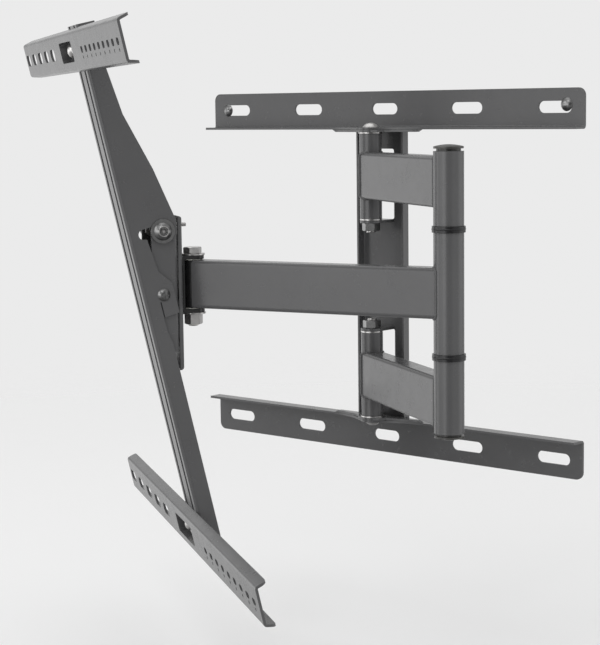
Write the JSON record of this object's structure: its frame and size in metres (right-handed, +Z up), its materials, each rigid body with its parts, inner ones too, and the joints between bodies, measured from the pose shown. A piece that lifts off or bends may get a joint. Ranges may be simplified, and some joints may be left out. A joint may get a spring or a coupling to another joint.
{
  "type": "double arm tv wall mount",
  "caption": "Articulated wall mount for a flat screen: slotted wall rails, double arm, forearm, swivel and tilt head, and slotted screen rails.",
  "frame": {"origin": "on the wall plane, in the middle of the wall bracket's back", "axes": "+Y into the wall, -Y into the room, +X along the wall rails to the elbow's side, +Z up"},
  "size_m": [0.6921, 0.4849, 0.5516],
  "materials": {
    "powder_coat": "satin dark grey powder coat",
    "black_coat": "black powder coat",
    "zinc_steel": "bright zinc plate",
    "black_plastic": "moulded black plastic",
    "nylon": "natural nylon"
  },
  "bodies": {
    "wall_bracket": {"top_wall_rail": "powder_coat", "bottom_wall_rail": "powder_coat", "wall_channel": "powder_coat", "end_slot_studs": "zinc_steel", "upper_shoulder_bolt": "zinc_steel", "lower_shoulder_bolt": "zinc_steel", "upper_shoulder_nut": "zinc_steel", "lower_shoulder_nut": "zinc_steel", "shoulder_washers": "zinc_steel"},
    "double_arm": {"upper_arm": "powder_coat", "lower_arm": "powder_coat", "upper_pivot_tube": "powder_coat", "lower_pivot_tube": "powder_coat", "shoulder_bushes": "nylon", "upper_post_tube": "powder_coat", "lower_post_tube": "powder_coat", "post_spindle": "zinc_steel", "top_post_cap": "black_plastic", "bottom_post_cap": "black_plastic"},
    "forearm": {"post_middle_tube": "powder_coat", "upper_elbow_bush": "black_plastic", "lower_elbow_bush": "black_plastic", "middle_arm": "powder_coat", "swivel_tube": "powder_coat", "swivel_bushes": "nylon"},
    "swivel_head": {"swivel_bracket": "black_coat", "back_plate": "powder_coat", "swivel_bolt": "zinc_steel", "swivel_washers": "zinc_steel", "swivel_nut": "zinc_steel", "level_pivot_bolt": "zinc_steel", "level_spacer": "zinc_steel", "level_washer": "zinc_steel", "level_pivot_nut": "zinc_steel"},
    "level_bracket": {"tilt_bracket": "powder_coat", "clamp_bolts": "zinc_steel", "clamp_washers": "zinc_steel", "clamp_nuts": "zinc_steel", "pivot_screws": "zinc_steel", "pivot_screw_nuts": "zinc_steel", "level_screw": "zinc_steel"},
    "tilt_frame": {"tilt_spine": "powder_coat", "top_screen_rail": "powder_coat", "bottom_screen_rail": "powder_coat", "top_rail_bolts": "zinc_steel", "top_rail_washers": "zinc_steel", "top_rail_nuts": "zinc_steel", "bottom_rail_bolts": "zinc_steel", "bottom_rail_washers": "zinc_steel", "bottom_rail_nuts": "zinc_steel"}
  },
  "joints": [
    {"name": "shoulder_swing", "type": "hinge", "parent": "wall_bracket", "child": "double_arm", "pos_m": [0, -0.027, 0], "axis": [0, 0, 1], "range_deg": [-45, 25]},
    {"name": "elbow_swing", "type": "hinge", "parent": "double_arm", "child": "forearm", "pos_m": [0.18161, -0.13244, 0], "axis": [0, 0, -1], "range_deg": [-186, 30]},
    {"name": "head_swivel", "type": "hinge", "parent": "forearm", "child": "swivel_head", "pos_m": [-0.1003, -0.20049, 0], "axis": [0, 0, 1], "range_deg": [-118, 32]},
    {"name": "level_adjust", "type": "hinge", "parent": "swivel_head", "child": "level_bracket", "pos_m": [-0.12063, -0.2314, -0.008], "axis": [-0.5495, -0.8355, 0], "range_deg": [-3, 3]},
    {"name": "screen_tilt", "type": "hinge", "parent": "level_bracket", "child": "tilt_frame", "pos_m": [-0.12063, -0.2314, -0.008], "axis": [0.8355, -0.5495, 0], "range_deg": [-17.65, 2.35]}
  ]
}
